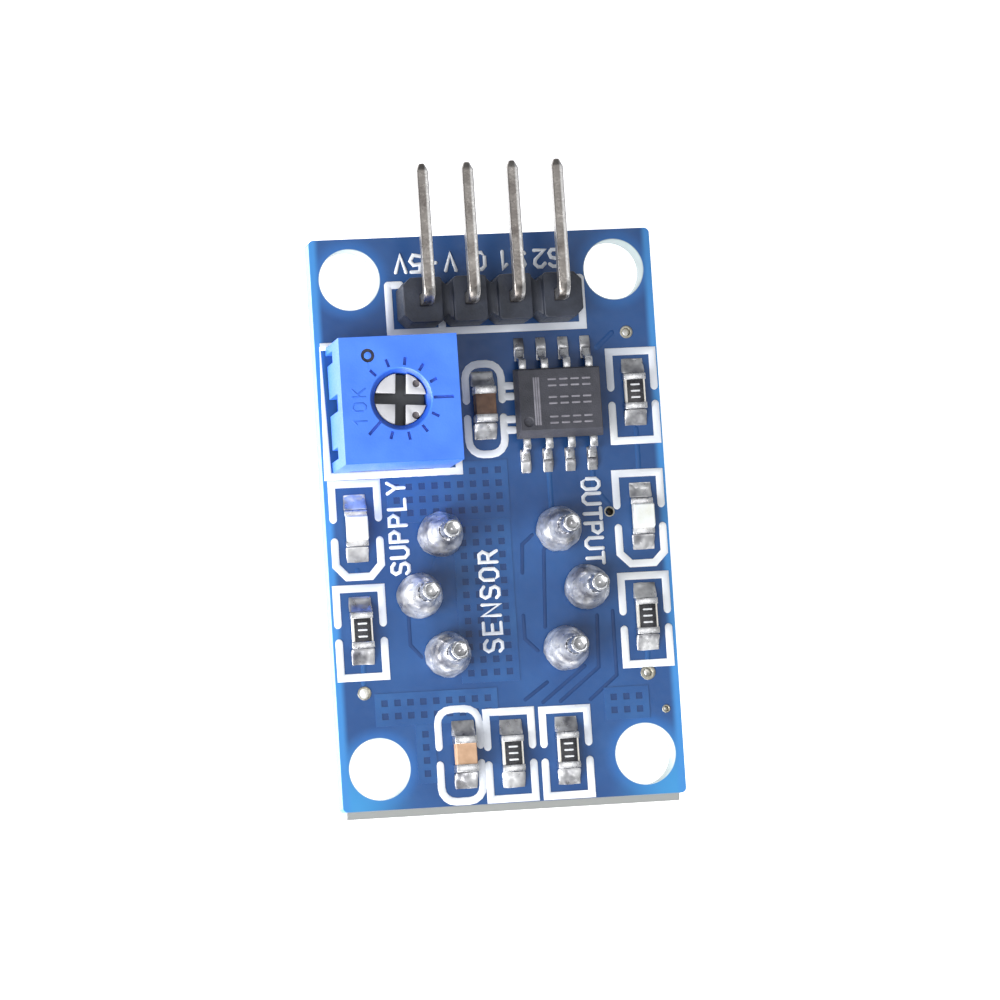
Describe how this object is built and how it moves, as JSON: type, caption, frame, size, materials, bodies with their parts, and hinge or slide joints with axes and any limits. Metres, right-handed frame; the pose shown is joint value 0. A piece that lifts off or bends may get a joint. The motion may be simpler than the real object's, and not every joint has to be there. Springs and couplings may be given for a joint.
{
  "type": "gas sensor module",
  "caption": "Small circuit board with a metal-oxide gas sensor in a gauze-topped can on one face, and a trimmer, comparator and angled pin header on the other.",
  "frame": {"origin": "middle of the four mounting holes, on the board's component face", "axes": "+Z out of the component face, away from the sensor can; +Y towards the tips of the header pins; +X to the right seen from the component face"},
  "size_m": [0.0196, 0.0359, 0.0205],
  "materials": {
    "solder_mask": "satin solder mask over glass-fibre laminate",
    "plating": "tinned copper",
    "header_plastic": "moulded",
    "pin_metal": "tinned brass",
    "solder": "bright reflowed solder",
    "case_plastic": "moulded, semi-gloss",
    "rotor_plastic": "moulded",
    "spring_metal": "spring alloy",
    "seal_rubber": "silicone",
    "white_ceramic": "fired alumina",
    "track_ink": "fired resistive ink",
    "lead_metal": "tinned",
    "potting": "epoxy",
    "ic_plastic": "moulded epoxy",
    "brown_ceramic": "fired dielectric",
    "tan_ceramic": "fired dielectric",
    "led_laminate": "laminate",
    "led_resin": "milky clear resin",
    "resin_base": "phenolic resin",
    "nickel_plate": "nickel-plated steel",
    "gauze_steel": "woven stainless wire",
    "oxide": "sintered metal oxide",
    "gold": "fired gold",
    "heater_wire": "nickel-chromium wire",
    "platinum": "platinum wire",
    "tube_pin_metal": "nickel-plated copper tube"
  },
  "bodies": {
    "module": {"circuit_board": "solder_mask", "plated_vias": "plating", "header_housing": "header_plastic", "header_pin_1": "pin_metal", "header_pin_2": "pin_metal", "header_pin_3": "pin_metal", "header_pin_4": "pin_metal", "header_solder": "solder", "trimmer_case": "case_plastic", "trimmer_seal_ring": "seal_rubber", "trimmer_element": "white_ceramic", "trimmer_track": "track_ink", "trimmer_terminals": "lead_metal", "trimmer_end_seal": "potting", "trimmer_solder": "solder", "comparator_body": "ic_plastic", "comparator_leads": "lead_metal", "comparator_solder": "solder", "resistor_1_body": "white_ceramic", "resistor_1_terminals": "plating", "resistor_2_body": "white_ceramic", "resistor_2_terminals": "plating", "resistor_3_body": "white_ceramic", "resistor_3_terminals": "plating", "resistor_4_body": "white_ceramic", "resistor_4_terminals": "plating", "resistor_5_body": "white_ceramic", "resistor_5_terminals": "plating", "capacitor_1_body": "brown_ceramic", "capacitor_1_terminals": "plating", "capacitor_2_body": "tan_ceramic", "capacitor_2_terminals": "plating", "led_1_base": "led_laminate", "led_1_lens": "led_resin", "led_1_terminals": "plating", "led_2_base": "led_laminate", "led_2_lens": "led_resin", "led_2_terminals": "plating", "chip_solder": "solder", "sensor_base": "resin_base", "sensor_clamp_ring": "nickel_plate", "sensor_can": "nickel_plate", "sensor_gauze_outer": "gauze_steel", "sensor_gauze_inner": "gauze_steel", "sensor_ceramic_tube": "white_ceramic", "sensor_oxide_layer": "oxide", "sensor_electrodes": "gold", "sensor_heater_coil": "heater_wire", "sensor_lead_wires": "platinum", "sensor_pin_1": "tube_pin_metal", "sensor_pin_2": "tube_pin_metal", "sensor_pin_3": "tube_pin_metal", "sensor_pin_4": "tube_pin_metal", "sensor_pin_5": "tube_pin_metal", "sensor_pin_6": "tube_pin_metal", "sensor_solder": "solder"},
    "trimmer_screw": {"trimmer_rotor": "rotor_plastic", "trimmer_wiper": "spring_metal"}
  },
  "joints": [
    {"name": "trimmer_turn", "type": "hinge", "parent": "module", "child": "trimmer_screw", "pos_m": [-0.00585, 0.0064, 0.00474], "axis": [0, 0, 1], "range_deg": [-131, 139]}
  ]
}
